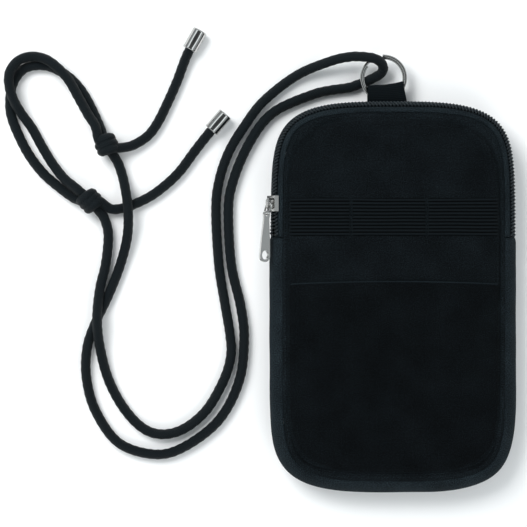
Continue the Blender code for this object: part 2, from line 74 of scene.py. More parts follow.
BORDER = 2.3 * MM
HALF_PANEL = 53 * MM
HEM_STITCHES_DOWN = 8.2 * MM
PARTED_TOP = 47.2 * MM
OPEN_ZIP_TOP = 36.8 * MM
DYE_TINT = (0.68, 1.0, 1.21)

# Where the corner of the square grid meets the outline, as a direction from the middle.
CORNER_DIRECTION = math.atan2(0.84, 0.54)

# The neck cord's route in millimetres, the same points as in the CAD.
ROUTES = {
    "cord_at_ring": [
        (-16.6, 116.9, 10.3), (-12, 116.5, 10.7), (-7.9, 115.5, 10.6), (-5.3, 113.7, 9.1),
        (-4.3, 111.5, 6.9), (-5.3, 109.3, 4.8), (-7.9, 107.7, 3.3), (-11, 106.2, 2.6),
        (-14, 104.9, 2.5), (-16.6, 104, 2.5),
    ],
    "cord_inner_run": [
        (-21, 116.8, 9.6), (-30, 115, 7.4), (-46.5, 108.5, 3.4),
        (-63, 95.8, 2.5), (-72.7, 83.1, 2.5), (-80.1, 70.7, 2.5), (-84.8, 56.8, 2.5),
        (-86.4, 42.1, 2.5), (-85, 15.8, 2.5), (-82.3, -1.8, 2.5), (-79.4, -19.4, 2.5),
        (-79.1, -29.6, 2.5), (-82.3, -40.8, 2.5), (-90.6, -55.5, 2.5), (-101.3, -64.8, 2.5),
        (-112, -68, 2.5), (-121.8, -65.3, 2.5), (-131.1, -56, 2.5), (-139, -41.7, 2.6),
        (-143.3, -25.2, 4.2), (-144.4, -11, 7.4), (-143.3, 3.6, 4.2), (-140.6, 15.8, 2.6),
        (-139.3, 29.6, 2.5), (-141, 37.6, 3.2), (-143.4, 41.4, 4.4),
    ],
    "cord_outer_run": [
        (-21, 102.5, 2.5), (-30, 101.2, 2.5), (-38.5, 99.2, 2.5),
        (-54.5, 92.6, 2.5), (-63.6, 85, 2.5), (-72.4, 70.7, 2.5), (-78.3, 55.3, 2.5),
        (-80.3, 42.1, 2.5), (-78.9, 15.8, 2.5), (-74.3, -4.7, 2.5), (-72.5, -21.3, 2.5),
        (-75, -41.8, 2.5), (-84.8, -60.8, 2.5), (-101.3, -73.8, 2.5), (-116, -77.9, 2.5),
        (-134.1, -72.3, 2.5), (-145.6, -56.5, 2.5), (-150.1, -40.1, 2.5), (-149.7, -25.2, 2.5),
        (-145.6, -13, 2.5), (-139, 1.1, 2.5), (-133.3, 15.8, 2.7), (-129.8, 29.6, 4.6),
        (-129.3, 43, 7.4), (-131.5, 56, 4.6), (-134, 64.2, 3.4), (-136.1, 68.2, 4.4),
    ],
    "cord_upper_loop": [
        (-145.2, 83.2, 8.2), (-148.6, 88.5, 7.6), (-153.5, 97.3, 7), (-158.2, 105.6, 7.2),
        (-163.3, 111.4, 7.4), (-169.6, 116, 6.6), (-176.9, 117.5, 5.6), (-183, 115.4, 6.2),
        (-186.5, 111, 7.4), (-187.6, 106.5, 7.6), (-186.9, 100.7, 7.4), (-184.8, 94.8, 6.2),
        (-181.8, 89.5, 4.2), (-176.9, 82.6, 2.6), (-172.1, 73.8, 2.5), (-166.7, 65, 2.9),
        (-160.8, 57.7, 4.6), (-154.9, 52.9, 6.4),
    ],
    "cord_lower_loop": [
        (-142.8, 81.6, 4.4), (-144.9, 86.5, 3), (-148.6, 94.3, 2.5), (-152.8, 101.4, 2.5),
        (-157.9, 107, 2.5), (-163.3, 110.7, 2.5), (-169.1, 113.1, 2.5), (-175.5, 113.4, 2.5),
        (-180.9, 111.7, 2.5), (-184.8, 107.5, 2.5), (-187, 102.1, 2.5), (-187.7, 95.8, 2.5),
        (-187.2, 89.3, 2.5), (-184.5, 81.5, 2.5), (-178.9, 70.3, 2.5), (-171.6, 60.6, 2.5),
        (-163.8, 53.7, 2.5), (-156.6, 48.4, 3),
    ],
    "cord_right_tail": [
        (-131.4, 73, 4.6), (-126.8, 74.3, 3.2), (-120, 78.7, 2.6), (-115.1, 85.2, 2.5),
        (-110.2, 95, 2.5), (-105.4, 105.9, 2.6), (-100.5, 118.6, 3.4), (-94.6, 129.4, 3.9),
    ],
    "cord_left_tail": [
        (-138.4, 43, 3.4), (-133.4, 43, 2.5), (-127.5, 44.8, 2.5), (-118.4, 49.2, 2.5),
        (-110.2, 55.4, 2.5), (-103.8, 61.8, 2.5), (-97.3, 70.6, 2.6), (-90.5, 79.2, 3.4),
        (-82.4, 88.6, 3.9),
    ],
}
LEFT_KNOT = np.array((-147.9, 46.7, 5.9))
RIGHT_KNOT = np.array((-139.9, 74.1, 5.9))

# The knots' windings, also in millimetres.
WRAP_RADIUS = 3.4
WRAP_HALF_LENGTH = 3.3


# ---------------------------------------------------------------- shader building


def node_material(name):
    made = bpy.data.materials.new(name)
    made.use_nodes = True
    tree = made.node_tree
    return made, tree, tree.nodes["Principled BSDF"]


def add(tree, kind, inputs=(), **settings):
    made = tree.nodes.new(kind)
    for key, value in settings.items():
        setattr(made, key, value)
    for key, value in dict(inputs).items():
        if isinstance(value, bpy.types.NodeSocket):
            tree.links.new(value, made.inputs[key])
        else:
            made.inputs[key].default_value = value
    return made


def maths(tree, operation, *values):
    return add(tree, "ShaderNodeMath", dict(enumerate(values)), operation=operation).outputs[0]


def mix_colour(tree, share, first, second):
    mixed = add(tree, "ShaderNodeMix", data_type="RGBA")
    for index, value in ((0, share), (6, first), (7, second)):
        if isinstance(value, bpy.types.NodeSocket):
            tree.links.new(value, mixed.inputs[index])
        else:
            mixed.inputs[index].default_value = value
    return mixed.outputs[2]


def uv_axes(tree):
    """The two surface distances in metres that every sewn piece carries as its UV map."""
    coordinates = add(tree, "ShaderNodeTexCoord")
    split = add(tree, "ShaderNodeSeparateXYZ", {0: coordinates.outputs["UV"]})
    return split.outputs[0], split.outputs[1], coordinates.outputs["UV"]


def wave(tree, distance, pitch):
    """A sine wave from -1 to 1 with one period per pitch."""
    return maths(tree, "SINE", maths(tree, "MULTIPLY", distance, 2 * math.pi / pitch))


def dyed(value):
    """The black dye at a given lightness, with its blue-green cast."""
    return (value * DYE_TINT[0], value * DYE_TINT[1], value * DYE_TINT[2], 1)


def woven(name, dark, light, pitch=0.6 * MM, depth=0.00012, roughness=0.85, sheen=0.02):
    """A plain weave: two sets of threads that pass over and under each other."""
    made, tree, shader = node_material(name)
    across, along, uv = uv_axes(tree)
    over = maths(tree, "MULTIPLY", wave(tree, across, pitch), wave(tree, along, pitch))
    threads = maths(tree, "ADD", maths(tree, "ABSOLUTE", wave(tree, across, 2 * pitch)),
                    maths(tree, "ABSOLUTE", wave(tree, along, 2 * pitch)))
    height = maths(tree, "ADD", maths(tree, "MULTIPLY", over, 0.35),
                   maths(tree, "MULTIPLY", threads, 0.45))
    slub = add(tree, "ShaderNodeTexNoise", {"Vector": uv, "Scale": 1900.0, "Detail": 3.0})
    cloud = add(tree, "ShaderNodeTexNoise", {"Vector": uv, "Scale": 60.0, "Detail": 4.0})
    # Colour: the slub and cloud noise are random tone in the yarn; the weave height also paints the
    # raised threads a little lighter and the gaps darker, painted highlight and painted shade.
    share = maths(tree, "ADD", maths(tree, "MULTIPLY", height, 0.35),
                  maths(tree, "MULTIPLY", slub.outputs[0], 2.3))
    share = maths(tree, "ADD", share, maths(tree, "MULTIPLY", cloud.outputs[0], 0.5))
    share = add(tree, "ShaderNodeClamp", {0: maths(tree, "SUBTRACT", share, 1.18)}).outputs[0]
    share = maths(tree, "POWER", share, 1.6)
    colour = mix_colour(tree, share, dyed(dark), dyed(light))
    tree.links.new(colour, shader.inputs["Base Color"])
    rough = maths(tree, "ADD", maths(tree, "MULTIPLY", slub.outputs[0], 0.2), roughness - 0.1)
    tree.links.new(rough, shader.inputs["Roughness"])
    total = maths(tree, "ADD", height, maths(tree, "MULTIPLY", slub.outputs[0], 0.9))
    bump = add(tree, "ShaderNodeBump", {"Strength": 0.8, "Distance": depth, "Height": total})
    tree.links.new(bump.outputs[0], shader.inputs["Normal"])
    shader.inputs["Sheen Weight"].default_value = sheen
    shader.inputs["Sheen Roughness"].default_value = 0.45
    shader.inputs["Sheen Tint"].default_value = dyed(0.5)
    shader.inputs["Specular IOR Level"].default_value = 0.08
    return made


def ribbed(name, dark, light, pitch, depth, roughness=0.7, groove_shade_pitch=0.0):
    """Cloth with ribs across its second surface direction, such as elastic or webbing.

    The last argument is the pitch of the elastic's grooves, whose dark lines are painted shade, counted
    from its lower edge.
    """
    made, tree, shader = node_material(name)
    across, along, uv = uv_axes(tree)
    rib = maths(tree, "ABSOLUTE", wave(tree, along, 2 * pitch))
    thread = maths(tree, "ABSOLUTE", wave(tree, across, 1.1 * MM))
    fuzz = add(tree, "ShaderNodeTexNoise", {"Vector": uv, "Scale": 2400.0, "Detail": 2.0})
    height = maths(tree, "ADD", rib, maths(tree, "MULTIPLY", thread, 0.35))
    height = maths(tree, "ADD", height, maths(tree, "MULTIPLY", fuzz.outputs[0], 0.4))
    # The colour follows the rib height: rib crests are painted lighter and the valleys darker, painted
    # highlight and painted shade; the fuzz noise adds random tone.
    share = add(tree, "ShaderNodeClamp", {0: maths(tree, "MULTIPLY", height, 0.55)}).outputs[0]
    # Painted shade: the colour is darkened along the elastic's grooves, one dark line per rib.
    if groove_shade_pitch:
        from_edge = maths(tree, "SUBTRACT", along, ELASTIC_BOTTOM)
        groove_shade = maths(tree, "ABSOLUTE", wave(tree, from_edge, 2 * groove_shade_pitch))
        share = maths(tree, "MULTIPLY", share, maths(tree, "POWER", groove_shade, 1.5))
    colour = mix_colour(tree, share, dyed(dark), dyed(light))
    tree.links.new(colour, shader.inputs["Base Color"])
    bump = add(tree, "ShaderNodeBump", {"Strength": 0.9, "Distance": depth, "Height": height})
    tree.links.new(bump.outputs[0], shader.inputs["Normal"])
    shader.inputs["Roughness"].default_value = roughness
    shader.inputs["Sheen Weight"].default_value = 0.01
    shader.inputs["Specular IOR Level"].default_value = 0.05
    return made


def braided(name):
    """Round braid: two sets of strands winding round the cord opposite ways."""
    made, tree, shader = node_material(name)
    around, along, uv = uv_axes(tree)
    turn = maths(tree, "MULTIPLY", around, 2 * math.pi * 8)
    climb = maths(tree, "MULTIPLY", along, 2 * math.pi / (1.9 * MM))
    left = maths(tree, "SINE", maths(tree, "ADD", turn, climb))
    right = maths(tree, "SINE", maths(tree, "SUBTRACT", turn, climb))
    lumps = maths(tree, "ADD", maths(tree, "ABSOLUTE", left), maths(tree, "ABSOLUTE", right))
    fibre = maths(tree, "SINE", maths(tree, "MULTIPLY", maths(tree, "ADD", turn, climb), 5.0))
    fuzz = add(tree, "ShaderNodeTexNoise", {"Vector": uv, "Scale": 900.0, "Detail": 3.0})
    height = maths(tree, "ADD", maths(tree, "MULTIPLY", lumps, 0.5),
                   maths(tree, "MULTIPLY", fibre, 0.06))
    height = maths(tree, "ADD", height, maths(tree, "MULTIPLY", fuzz.outputs[0], 0.25))
    # The colour follows the strands' height: strand crowns are painted lighter and the gaps between
    # strands darker, painted highlight and painted shade; the fuzz noise adds random tone.
    share = add(tree, "ShaderNodeClamp", {0: maths(tree, "MULTIPLY", height, 0.75)}).outputs[0]
    tree.links.new(mix_colour(tree, share, dyed(0.0004), dyed(0.014)), shader.inputs["Base Color"])
    bump = add(tree, "ShaderNodeBump", {"Strength": 0.9, "Distance": 0.0003, "Height": height})
    tree.links.new(bump.outputs[0], shader.inputs["Normal"])
    shader.inputs["Roughness"].default_value = 0.6
    shader.inputs["Sheen Weight"].default_value = 0.02
    shader.inputs["Sheen Roughness"].default_value = 0.4
    shader.inputs["Specular IOR Level"].default_value = 0.16
    return made


def metal(name, value, roughness, scratches):
    made, tree, shader = node_material(name)
    place = add(tree, "ShaderNodeTexCoord").outputs["Object"]
    mark = add(tree, "ShaderNodeTexNoise", {"Vector": place, "Scale": 700.0, "Detail": 6.0})
    smear = add(tree, "ShaderNodeTexNoise", {"Vector": place, "Scale": 120.0, "Detail": 3.0})
    rough = maths(tree, "ADD", roughness, maths(tree, "MULTIPLY", smear.outputs[0], 0.12))
    tree.links.new(rough, shader.inputs["Roughness"])
    bump = add(tree, "ShaderNodeBump",
               {"Strength": 0.25, "Distance": scratches, "Height": mark.outputs[0]})
    tree.links.new(bump.outputs[0], shader.inputs["Normal"])
    shader.inputs["Base Color"].default_value = (value, value * 0.99, value * 0.965, 1)
    shader.inputs["Metallic"].default_value = 1.0
    return made


def nylon(name, dark, light, gloss):
    """Glossy black monofilament or sewing thread."""
    made, tree, shader = node_material(name)
    place = add(tree, "ShaderNodeTexCoord").outputs["Object"]
    grain = add(tree, "ShaderNodeTexNoise", {"Vector": place, "Scale": 1500.0, "Detail": 2.0})
    colour = mix_colour(tree, grain.outputs[0], dyed(dark), dyed(light))
    tree.links.new(colour, shader.inputs["Base Color"])
    rough = maths(tree, "ADD", 0.32, maths(tree, "MULTIPLY", grain.outputs[0], 0.2))
    tree.links.new(rough, shader.inputs["Roughness"])
    shader.inputs["Specular IOR Level"].default_value = gloss
    return made


def make_materials():
    return {
        "front": woven("front_fabric", 0.0002, 0.020, depth=0.0003, sheen=0.01),
        "border": woven("border_fabric", 0.0006, 0.026, depth=0.0003, sheen=0.01),
        "side": woven("side_fabric", 0.002, 0.047, depth=0.0003, sheen=0.04),
        "pocket": woven("pocket_fabric", 0.0001, 0.013, depth=0.0003, sheen=0.005),
        "lining": woven("lining_fabric", 0.012, 0.03, pitch=0.35 * MM, depth=0.00004, roughness=0.6),
        "tape": ribbed("zip_tape", 0.001, 0.008, 0.6 * MM, 0.00008),
        # The elastic gets painted shade lines in its grooves at the rib pitch.
        "elastic": ribbed("elastic_rubber", 0.0001, 0.014, 0.55 * MM, 0.00014, 0.65,
                          ELASTIC_RIB_PITCH),
        "webbing": ribbed("tab_webbing", 0.001, 0.009, 0.8 * MM, 0.00012),
        "cord": braided("cord_braid"),
        "chrome": metal("bright_chrome", 0.5, 0.02, 0.000001),
        "nickel": metal("dull_nickel", 0.6, 0.14, 0.000006),
        "coil": nylon("coil_nylon", 0.003, 0.035, 0.5),
        "thread": nylon("sewing_thread", 0.001, 0.008, 0.08),
    }


# ---------------------------------------------------------------- the pouch's outline


def outline_point(angle):
    across, along = abs(math.cos(angle)) / HALF_WIDTH, abs(math.sin(angle)) / HALF_LENGTH
    low, high = 0.0, HALF_WIDTH + HALF_LENGTH
    for _ in range(45):
        middle = (low + high) / 2
        if (middle * across) ** SIDE_POWER + (middle * along) ** END_POWER < 1:
            low = middle
        else:
            high = middle
    return np.array([low * math.cos(angle), low * math.sin(angle)])


def outline_normal(point):
    x, y = point
    slope = np.array([
        SIDE_POWER * abs(x / HALF_WIDTH) ** (SIDE_POWER - 1) * math.copysign(1 / HALF_WIDTH, x),
        END_POWER * abs(y / HALF_LENGTH) ** (END_POWER - 1) * math.copysign(1 / HALF_LENGTH, y),
    ])
    return slope / np.linalg.norm(slope)


def angle_at(y):
    half_width = HALF_WIDTH * (1 - abs(y / HALF_LENGTH) ** END_POWER) ** (1 / SIDE_POWER)
    return math.atan2(y, half_width)


def outline_run(start, end, step):
    """(points, outward normals, distances) along the outline, anticlockwise between two angles."""
    dense = np.array([outline_point(a) for a in np.linspace(start, end, 700)])
    along = np.concatenate([[0], np.cumsum(np.linalg.norm(np.diff(dense, axis=0), axis=1))])
    at = np.linspace(0, along[-1], max(2, round(along[-1] / step)) + 1)
    points = np.stack([np.interp(at, along, dense[:, k]) for k in (0, 1)], axis=1)
    return points, np.array([outline_normal(p) for p in points]), at


def over_the_top(y, step):
    return outline_run(angle_at(y), math.pi - angle_at(y), step)


def under_the_bottom(y, step):
    return outline_run(math.pi - angle_at(y), 2 * math.pi + angle_at(y), step)


def half_width_at(y, inset):
    """Half the width between the two sides at a height, that far inside the outline."""
    x = HALF_WIDTH * (1 - abs(y / HALF_LENGTH) ** END_POWER) ** (1 / SIDE_POWER)
    return x - inset / max(0.3, abs(outline_normal((x, y))[0]))


# ---------------------------------------------------------------- mesh building


def surface(name, places, uvs, finish):
    """A grid of quads through a rows-by-columns array of points, with a UV map in metres."""
    rows, columns = len(places), len(places[0])
    verts = [tuple(p) for row in places for p in row]
    flat_uvs = [tuple(p) for row in uvs for p in row]
    faces = []
    for i in range(rows - 1):
        for j in range(columns - 1):
            first = i * columns + j
            second = first + columns
            faces.append((first, second, second + 1, first + 1))
    mesh = bpy.data.meshes.new(name)
    mesh.from_pydata(verts, [], faces)
    layer = mesh.uv_layers.new(name="surface")
    for loop in mesh.loops:
        layer.data[loop.index].uv = flat_uvs[loop.vertex_index]
    mesh.materials.append(finish)
    for face in mesh.polygons:
        face.use_smooth = True
    made = bpy.data.objects.new(name, mesh)
    bpy.context.scene.collection.objects.link(made)
    return made


def apply_modifiers(obj):
    """Replaces an object's mesh by the mesh its modifiers give."""
    graph = bpy.context.evaluated_depsgraph_get()
    mesh = bpy.data.meshes.new_from_object(obj.evaluated_get(graph))
    obj.modifiers.clear()
    obj.data = mesh
    return obj


def round_edges(obj, width, segments, degrees):
    """Bevels the edges that turn by more than some degrees."""
    bevel = obj.modifiers.new("rounded", "BEVEL")
    bevel.width = width
    bevel.segments = segments
    bevel.limit_method = "ANGLE"
    bevel.angle_limit = math.radians(degrees)


def thicken(obj, thickness, offset=-1):
    thick = obj.modifiers.new("thickness", "SOLIDIFY")
    thick.thickness = thickness
    thick.offset = offset
    return apply_modifiers(obj)


def ripple(place, scale, seed=0.0):
    """Smooth seeded noise from -1 to 1 at a point in metres."""
    return noise.noise(Vector(place) / scale + Vector((seed, seed * 0.7, -seed)))


def tube_mesh(name, line, radius, finish, sides, shape=None):
    """A round tube along a line of points. shape(turn, distance) scales the radius."""
    line = np.array(line, float)
    count = len(line)
    tangents = np.gradient(line, axis=0)
    tangents /= np.linalg.norm(tangents, axis=1)[:, None]
    steps = np.linalg.norm(np.diff(line, axis=0), axis=1)
    along = np.concatenate([[0], np.cumsum(steps)])
    side = np.cross(tangents[0], (0, 0, 1))
    if np.linalg.norm(side) < 0.1:
        side = np.cross(tangents[0], (0, 1, 0))
    rings, uvs = [], []
    for i in range(count):
        side = side - tangents[i] * np.dot(side, tangents[i])
        side /= np.linalg.norm(side)
        up = np.cross(side, tangents[i])
        ring, ring_uvs = [], []
        for j in range(sides + 1):
            turn = j / sides
            size = radius * (shape(turn, along[i]) if shape else 1)
            angle = 2 * math.pi * turn
            ring.append(line[i] + size * (math.cos(angle) * side + math.sin(angle) * up))
            ring_uvs.append((turn, along[i]))
        rings.append(ring)
        uvs.append(ring_uvs)
    made = surface(name, rings, uvs, finish)
    weld(made, 0.02 * MM)
    return made


def weld(obj, distance):
    bm = bmesh.new()
    bm.from_mesh(obj.data)
    bmesh.ops.remove_doubles(bm, verts=bm.verts, dist=distance)
    holes = [e for e in bm.edges if e.is_boundary]
    bmesh.ops.holes_fill(bm, edges=holes, sides=0)
    bmesh.ops.recalc_face_normals(bm, faces=bm.faces)
    bm.to_mesh(obj.data)
    bm.free()


def smooth_route(points, step):
    knots = np.array(points, float)
    ends = [2 * knots[0] - knots[1], 2 * knots[-1] - knots[-2]]
    padded = np.vstack([ends[0], knots, ends[1]])
    dense = []
    for a, b, c, d in zip(padded, padded[1:], padded[2:], padded[3:]):
        for t in np.linspace(0, 1, 24, endpoint=False):
            dense.append(0.5 * (2 * b + (c - a) * t + (2 * a - 5 * b + 4 * c - d) * t**2
                                + (3 * b - a - 3 * c + d) * t**3))
    dense = np.array([*dense, knots[-1]])
    along = np.concatenate([[0], np.cumsum(np.linalg.norm(np.diff(dense, axis=0), axis=1))])
    at = np.linspace(0, along[-1], max(2, round(along[-1] / step)) + 1)
    return np.stack([np.interp(at, along, dense[:, k]) for k in range(3)], axis=1)


def stitches(name, line, finish, pitch=2.4 * MM, length=1.7 * MM, radius=0.19 * MM):
    """A row of short threads along a line that lies on the cloth."""
    line = smooth_route(line, 0.4 * MM)
    along = np.concatenate([[0], np.cumsum(np.linalg.norm(np.diff(line, axis=0), axis=1))])
    verts, faces, sides = [], [], 6
    for start in np.arange(0.3 * pitch, along[-1] - length, pitch):
        at = np.linspace(start, start + length, 5)
        middle = np.stack([np.interp(at, along, line[:, k]) for k in range(3)], axis=1)
        lift = np.array([-0.12, 0.1, 0.16, 0.1, -0.12]) * MM
        forward = middle[-1] - middle[0]
        forward /= np.linalg.norm(forward)
        side = np.cross(forward, (0, 0, 1.0))
        side /= max(1e-6, np.linalg.norm(side))
        up = np.cross(side, forward)
        base = len(verts)
        for place, rise in zip(middle, lift):
            for k in range(sides):
                angle = 2 * math.pi * k / sides
                verts.append(tuple(place + up * rise
                                   + radius * (math.cos(angle) * side + math.sin(angle) * up)))
        for i in range(4):
            for k in range(sides):
                n = (k + 1) % sides
                a, b = base + i * sides, base + (i + 1) * sides
                faces.append((a + k, a + n, b + n, b + k))
        faces.append(tuple(base + k for k in reversed(range(sides))))
        faces.append(tuple(base + 4 * sides + k for k in range(sides)))
    mesh = bpy.data.meshes.new(name)
    mesh.from_pydata(verts, [], faces)
    mesh.materials.append(finish)
    for face in mesh.polygons:
        face.use_smooth = True
    made = bpy.data.objects.new(name, mesh)
    bpy.context.scene.collection.objects.link(made)
    return made


# ---------------------------------------------------------------- front and back panels


def share_of_outline(x, y):
    """0 at the centre and 1 on the seam line."""
    low, high = 0.0, 1.3
    inner_x, inner_y = HALF_WIDTH - SEAM_INSET, HALF_LENGTH - SEAM_INSET
    for _ in range(22):
        middle = (low + high) / 2 + 1e-9
        if abs(x / inner_x / middle) ** 3.6 + abs(y / inner_y / middle) ** 8.5 < 1:
            high = middle
        else:
            low = middle
    return (low + high) / 2


def inside_seam(x, y):
    """About how far a point lies inside the seam line, in metres."""
    return max(0.0, (1 - share_of_outline(x, y)) * HALF_PANEL)


# Each crease's depth, middle point, direction and length, in millimetres. The last one is a ridge.
CREASES = (
    (1.4, 36, 78, (0.62, -0.78), 9),
    (1.2, 43, 70, (0.5, -0.87), 6),
    (1.5, -41, 76, (0.68, 0.73), 8),
    (1.2, -30, 84.5, (0.97, 0.25), 10),
    (-0.5, -8, 84, (1, 0.03), 22),
)


def front_height(x, y):
    """The front fabric's height over the table: padded, rolled down at the seam, slightly creased."""
    inwards = inside_seam(x, y)
    height = 17.2 * MM + 1.7 * MM * (1 - math.exp(-inwards / (2.6 * MM)))
    height -= 1.0 * MM * math.exp(-((inwards - BORDER) / (0.7 * MM)) ** 2)
    dome = max(0.0, 1 - (x / (54 * MM)) ** 2) * max(0.0, 1 - abs(y / (90 * MM)) ** 3)
    height += 0.75 * MM * dome
    height += 0.22 * MM * ripple((x, y, 0), 26 * MM, 3.1) * min(1, inwards / (6 * MM))
    pucker = math.exp(-((inwards - 3 * MM) / (3 * MM)) ** 2)
    height += 0.16 * MM * pucker * ripple((x, y, 0), 4.5 * MM, 8.2)
    for depth, middle_x, middle_y, along, length in CREASES:
        middle = (middle_x * MM, middle_y * MM)
        height -= depth * MM * crease(x, y, middle, along, length * MM)
    return height


def crease(x, y, middle, along, length):
    """1 on a short line across the cloth, falling to 0 beside it and beyond its ends."""
    step_x, step_y = x - middle[0], y - middle[1]
    down = (step_x * along[0] + step_y * along[1]) / length
    side = (step_x * along[1] - step_y * along[0]) / (1.3 * MM)
    return math.exp(-down * down - side * side)


def square_grid(count):
    """A square grid mapped onto the outline, as rows of (rim point, share of the way out to it)."""
    rim_points, _, along = outline_run(0, 2 * math.pi, 0.8 * MM)
    total = along[-1]

    def rim(turn):
        at = (turn % 1.0) * total
        return np.array([np.interp(at, along, rim_points[:, k]) for k in (0, 1)])

    corner_turn = float(np.interp(CORNER_DIRECTION, [
        math.atan2(p[1], p[0]) % (2 * math.pi) for p in rim_points[:-1]], along[:-1])) / total
    turns = [corner_turn, 0.5 - corner_turn, 0.5 + corner_turn, 1 - corner_turn, 1 + corner_turn]
    rows = []
    for t in np.linspace(-1, 1, count + 1):
        row = []
        for s in np.linspace(-1, 1, count + 1):
            share = max(abs(s), abs(t))
            if share == 0:
                row.append((np.zeros(2), 0.0))
                continue
            if abs(t) >= abs(s) and t > 0:
                turn = turns[0] + (turns[1] - turns[0]) * (1 - s / share) / 2
            elif abs(t) >= abs(s):
                turn = turns[2] + (turns[3] - turns[2]) * (1 + s / share) / 2
            elif s < 0:
                turn = turns[1] + (turns[2] - turns[1]) * (1 - t / share) / 2
            else:
                turn = turns[3] + (turns[4] - turns[3]) * (1 + t / share) / 2
            row.append((rim(turn), share))
        rows.append(row)
    return rows


def panel(name, grid, inset, height, finish):
    """A sheet that fills the outline less an inset, at height(x, y)."""
    places, uvs = [], []
    for row in grid:
        line, line_uvs = [], []
        for rim_point, share in row:
            if share:
                point = (rim_point - inset * outline_normal(rim_point)) * (1 - (1 - share) ** 1.4)
            else:
                point = rim_point
            line.append((point[0], point[1], height(point[0], point[1])))
            line_uvs.append((point[0], point[1]))
        places.append(line)
        uvs.append(line_uvs)
    return surface(name, places, uvs, finish)


def cut_above(obj, y):
    """Cuts a sheet on a line across the pouch and keeps what is below it."""
    bm = bmesh.new()
    bm.from_mesh(obj.data)
    bmesh.ops.bisect_plane(bm, geom=bm.verts[:] + bm.edges[:] + bm.faces[:], dist=1e-6,
                           plane_co=(0, y, 0), plane_no=(0, 1, 0), clear_outer=True)
    bm.to_mesh(obj.data)
    bm.free()
    return obj


def fold_blend(obj):
    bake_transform(obj)


def make_panels(looks, grid):
    front = panel("front_fabric", grid, SEAM_INSET - 0.2 * MM, front_height, looks["front"])
    front = thicken(front, 0.9 * MM)
    front.data.materials.append(looks["border"])
    for face in front.data.polygons:
        face.material_index = int(inside_seam(face.center.x, face.center.y) < BORDER)
    fold_blend(front)
    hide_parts("front_panel_lower", "front_panel_upper", "front_foam_lower",
                "front_foam_upper", "front_seam_binding_lower", "front_seam_binding_upper")

    def back_height(x, y):
        return 0.15 * MM + 1.1 * MM * math.exp(-inside_seam(x, y) / (2.2 * MM))

    back = panel("back_fabric", grid, SEAM_INSET - 0.2 * MM, back_height, looks["front"])
    back.data.flip_normals()
    back = thicken(back, 0.8 * MM)
    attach(back, "pouch")
    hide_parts("back_panel", "back_foam", "back_seam_binding_lower",
                "back_seam_binding_upper")

    def lining(name, seed, height, node_names, blended):
        made = panel(name, grid, SEAM_INSET + 0.6 * MM, lambda x, y: height
                     + 0.35 * MM * ripple((x, y, 0), 14 * MM, seed), looks["lining"])
        made = thicken(made, 0.4 * MM)
        if blended:
            fold_blend(made)
        else:
            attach(made, "pouch")
        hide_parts(*node_names)

    lining("back_lining_cloth", 1.0, 3.8 * MM, ["back_lining"], False)
    lining("front_lining_cloth", 2.0, 14.6 * MM, ["front_lining_lower", "front_lining_upper"], True)
    pocket = panel("inner_pocket_cloth", grid, SEAM_INSET + 1.6 * MM, lambda x, y: 4.8 * MM
                   + 0.25 * MM * ripple((x, y, 0), 18 * MM, 5.0), looks["lining"])
    pocket = thicken(cut_above(pocket, 12 * MM), 0.4 * MM)
    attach(pocket, "pouch")
    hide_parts("inner_pocket")


def slip_edge(x):
    """The pocket mouth's line: it rises a little between the side seams."""
    return SLIP_POCKET_TOP - 1.4 * MM * (x / (52 * MM)) ** 2


def slip_height(x, y):
    """The slip pocket's height: over the front, with a raised hem, its stitches and a slack mouth."""
    below = slip_edge(x) - y
    hem = 0.35 * MM / (1 + math.exp((below - 9 * MM) / (0.35 * MM)))
    stitch = -0.22 * MM * math.exp(-((below - HEM_STITCHES_DOWN) / (0.5 * MM)) ** 2)
    gape = 0.5 * MM * math.exp(-max(0, below) / (16 * MM)) * max(0, 1 - (x / (52 * MM)) ** 2)
    edge = min(1.0, max(0.0, (inside_seam(x, y) - BORDER) / (3 * MM)))
    return front_height(x, y) + (0.2 * MM + hem + stitch + gape) * edge + 0.45 * MM


def make_slip_pocket(looks, grid):
    made = panel("slip_pocket_cloth", grid, SEAM_INSET + BORDER, lambda x, y: 0.0, looks["pocket"])
    cut_above(made, SLIP_POCKET_TOP)
    straight_below = -20 * MM
    for vertex in made.data.vertices:
        x, y, _ = vertex.co
        if y > straight_below:
            sag = SLIP_POCKET_TOP - slip_edge(x)
            y -= sag * (y - straight_below) / (SLIP_POCKET_TOP - straight_below)
        vertex.co = (x, y, slip_height(x, y))
    made = thicken(made, 0.45 * MM)
    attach(made, "pouch")
    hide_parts("slip_pocket")
    hem = []
    for x in np.linspace(-47, 47, 40) * MM:
        y = slip_edge(x) - HEM_STITCHES_DOWN
        hem.append((x, y, slip_height(x, y) + 0.1 * MM))
    rows = [stitches("slip_pocket_hem_stitches", hem, looks["thread"])]
    for side in (-1, 1):
        places = [(side * (half_width_at(y, SEAM_INSET + BORDER) - 1.6 * MM), y) for y in
                  np.linspace(-70, 5, 30) * MM]
        line = [(x, y, slip_height(x, y) + 0.1 * MM) for x, y in places]
        rows.append(stitches("slip_pocket_side_stitches", line, looks["thread"]))
    # The mouth's rolled edge: a thin tube in the lighter side fabric, whose lighter colour is a painted
    # highlight along the pocket mouth.
    mouth = [(x, slip_edge(x) + 0.1 * MM, slip_height(x, slip_edge(x)) - 0.1 * MM)
             for x in np.linspace(-50.5, 50.5, 80) * MM]
    edge = tube_mesh("slip_pocket_rolled_edge_highlight", mouth, 0.5 * MM, looks["side"], sides=10)
    rows.append(edge)
    for row in rows:
        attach(row, "pouch")


ELASTIC_STITCHES = (-20.8 * MM, 15.8 * MM)


